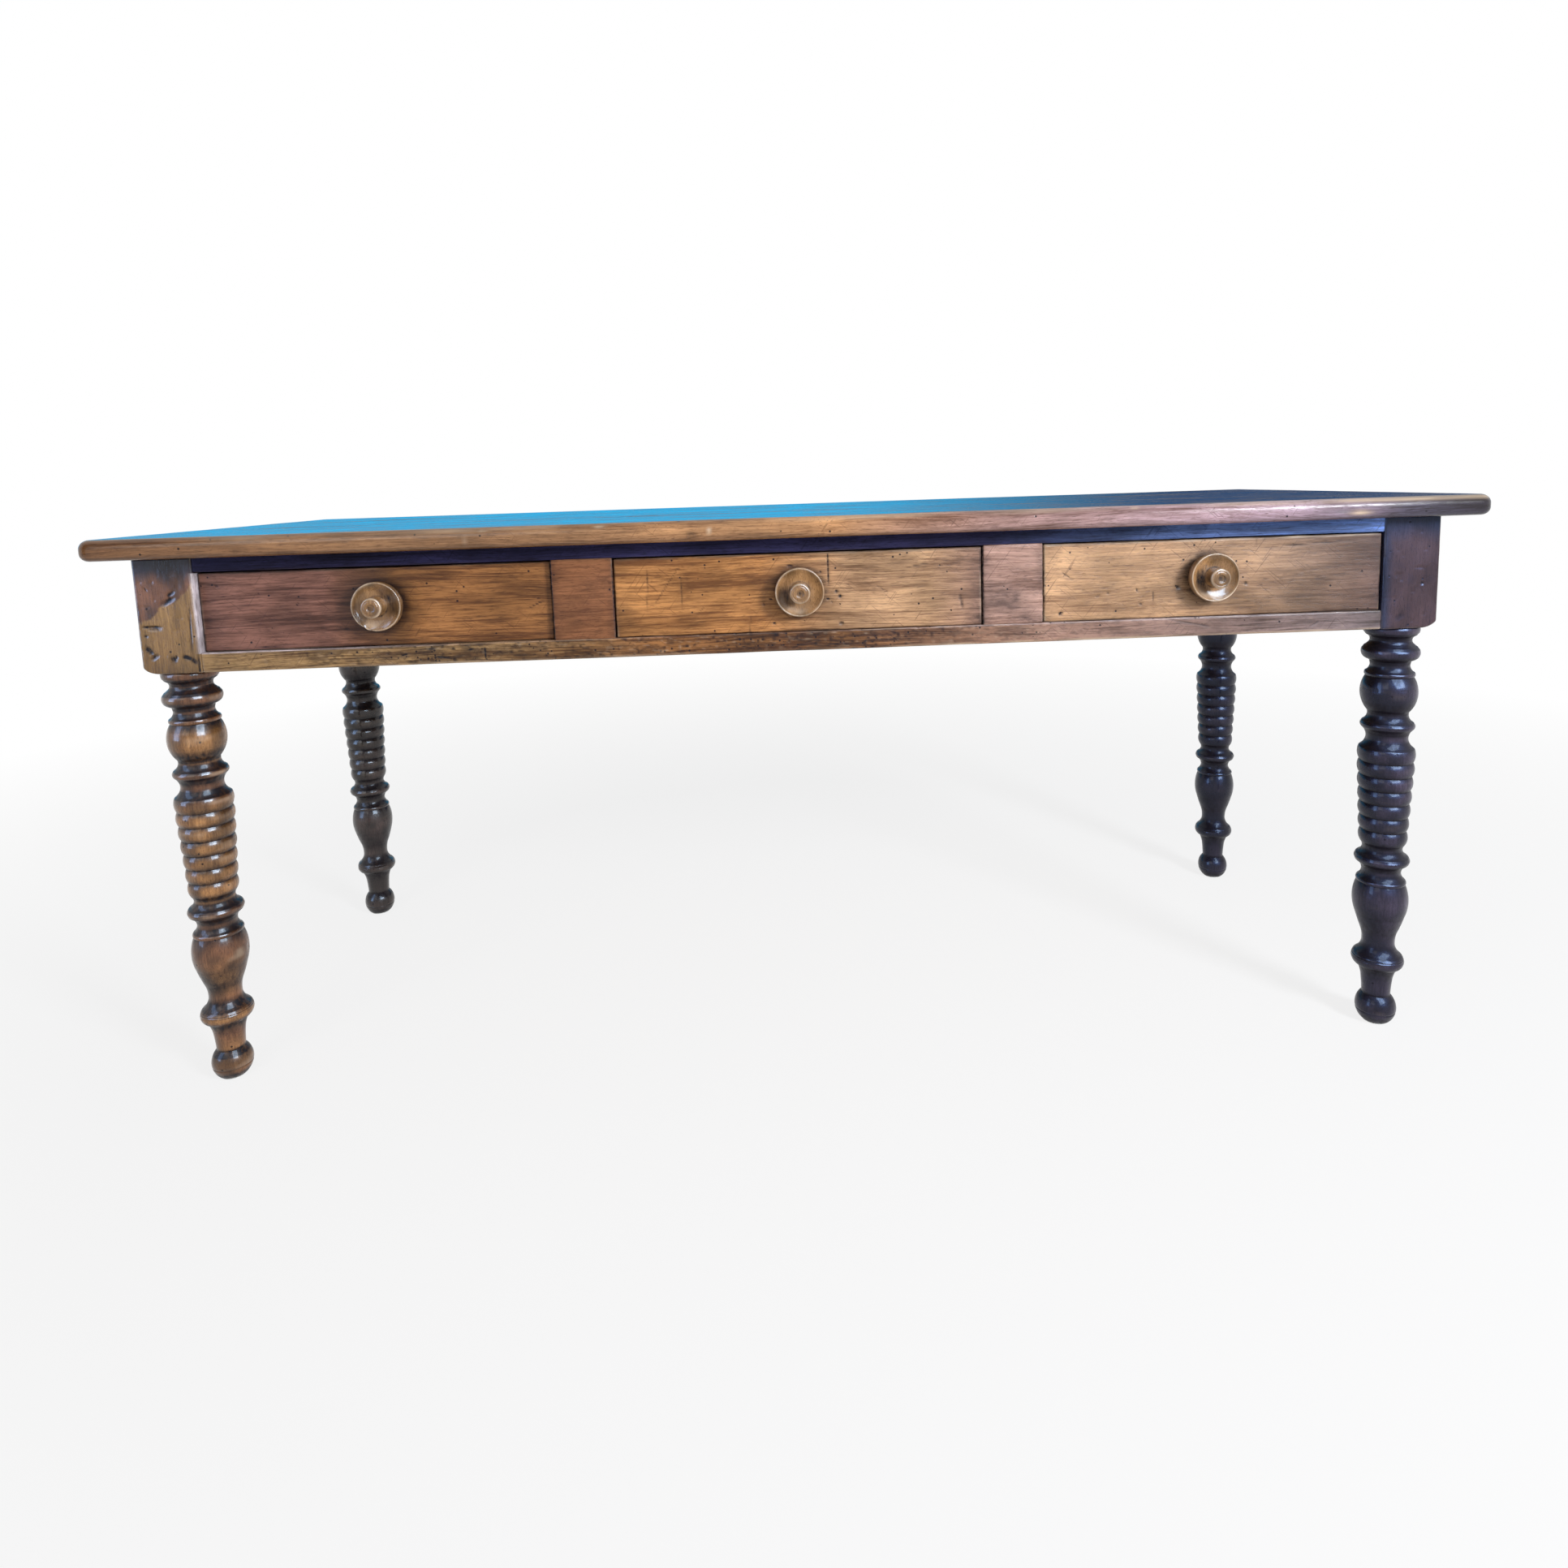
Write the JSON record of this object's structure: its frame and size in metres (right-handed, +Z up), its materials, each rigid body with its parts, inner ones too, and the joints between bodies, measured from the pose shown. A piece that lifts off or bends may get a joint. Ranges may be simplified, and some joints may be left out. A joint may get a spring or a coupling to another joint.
{
  "type": "farmhouse table",
  "caption": "Long farmhouse table with turned legs, a bullnosed plank top and a row of drawers with turned wooden knobs under the front edge.",
  "frame": {"origin": "on the floor, under the middle of the top", "axes": "+Z up, +X along the length to the right as seen from the drawers, front with the drawers towards -Y"},
  "size_m": [1.8, 0.7, 0.76],
  "materials": {
    "top_wood": "polished",
    "leg_wood": "waxed",
    "frame_wood": "waxed",
    "drawer_front_wood": "waxed",
    "knob_wood": "polished",
    "inner_wood": "raw",
    "peg_wood": "waxed",
    "old_steel": "dull",
    "glide_felt": "matte"
  },
  "bodies": {
    "frame": {"drawer_stops": "inner_wood", "end_apron_left": "frame_wood", "end_apron_right": "frame_wood", "foot_glides": "glide_felt", "front_bottom_rail": "frame_wood", "front_top_rail": "frame_wood", "guide_outer_left": "inner_wood", "guide_outer_right": "inner_wood", "guide_stile_left": "inner_wood", "guide_stile_right": "inner_wood", "kicker_outer_left": "inner_wood", "kicker_outer_right": "inner_wood", "kicker_stile_left": "inner_wood", "kicker_stile_right": "inner_wood", "leg_back_left": "leg_wood", "leg_back_right": "leg_wood", "leg_front_left": "leg_wood", "leg_front_right": "leg_wood", "rear_apron": "frame_wood", "runner_outer_left": "inner_wood", "runner_outer_right": "inner_wood", "runner_stile_left": "inner_wood", "runner_stile_right": "inner_wood", "stile_left": "frame_wood", "stile_right": "frame_wood", "tenon_pegs": "peg_wood", "top_board_back": "top_wood", "top_board_front": "top_wood", "top_board_middle": "top_wood", "top_buttons": "inner_wood", "top_screws": "old_steel"},
    "drawer_left": {"drawer_left_back": "inner_wood", "drawer_left_bottom": "inner_wood", "drawer_left_front": "drawer_front_wood", "drawer_left_knob": "knob_wood", "drawer_left_knob_screw": "old_steel", "drawer_left_nails": "old_steel", "drawer_left_side_left": "inner_wood", "drawer_left_side_right": "inner_wood"},
    "drawer_centre": {"drawer_centre_back": "inner_wood", "drawer_centre_bottom": "inner_wood", "drawer_centre_front": "drawer_front_wood", "drawer_centre_knob": "knob_wood", "drawer_centre_knob_screw": "old_steel", "drawer_centre_nails": "old_steel", "drawer_centre_side_left": "inner_wood", "drawer_centre_side_right": "inner_wood"},
    "drawer_right": {"drawer_right_back": "inner_wood", "drawer_right_bottom": "inner_wood", "drawer_right_front": "drawer_front_wood", "drawer_right_knob": "knob_wood", "drawer_right_knob_screw": "old_steel", "drawer_right_nails": "old_steel", "drawer_right_side_left": "inner_wood", "drawer_right_side_right": "inner_wood"}
  },
  "joints": [
    {"name": "drawer_left_slide", "type": "slide", "parent": "frame", "child": "drawer_left", "axis": [0, -1, 0], "range_m": [0, 0.4]},
    {"name": "drawer_centre_slide", "type": "slide", "parent": "frame", "child": "drawer_centre", "axis": [0, -1, 0], "range_m": [0, 0.4]},
    {"name": "drawer_right_slide", "type": "slide", "parent": "frame", "child": "drawer_right", "axis": [0, -1, 0], "range_m": [0, 0.4]}
  ]
}
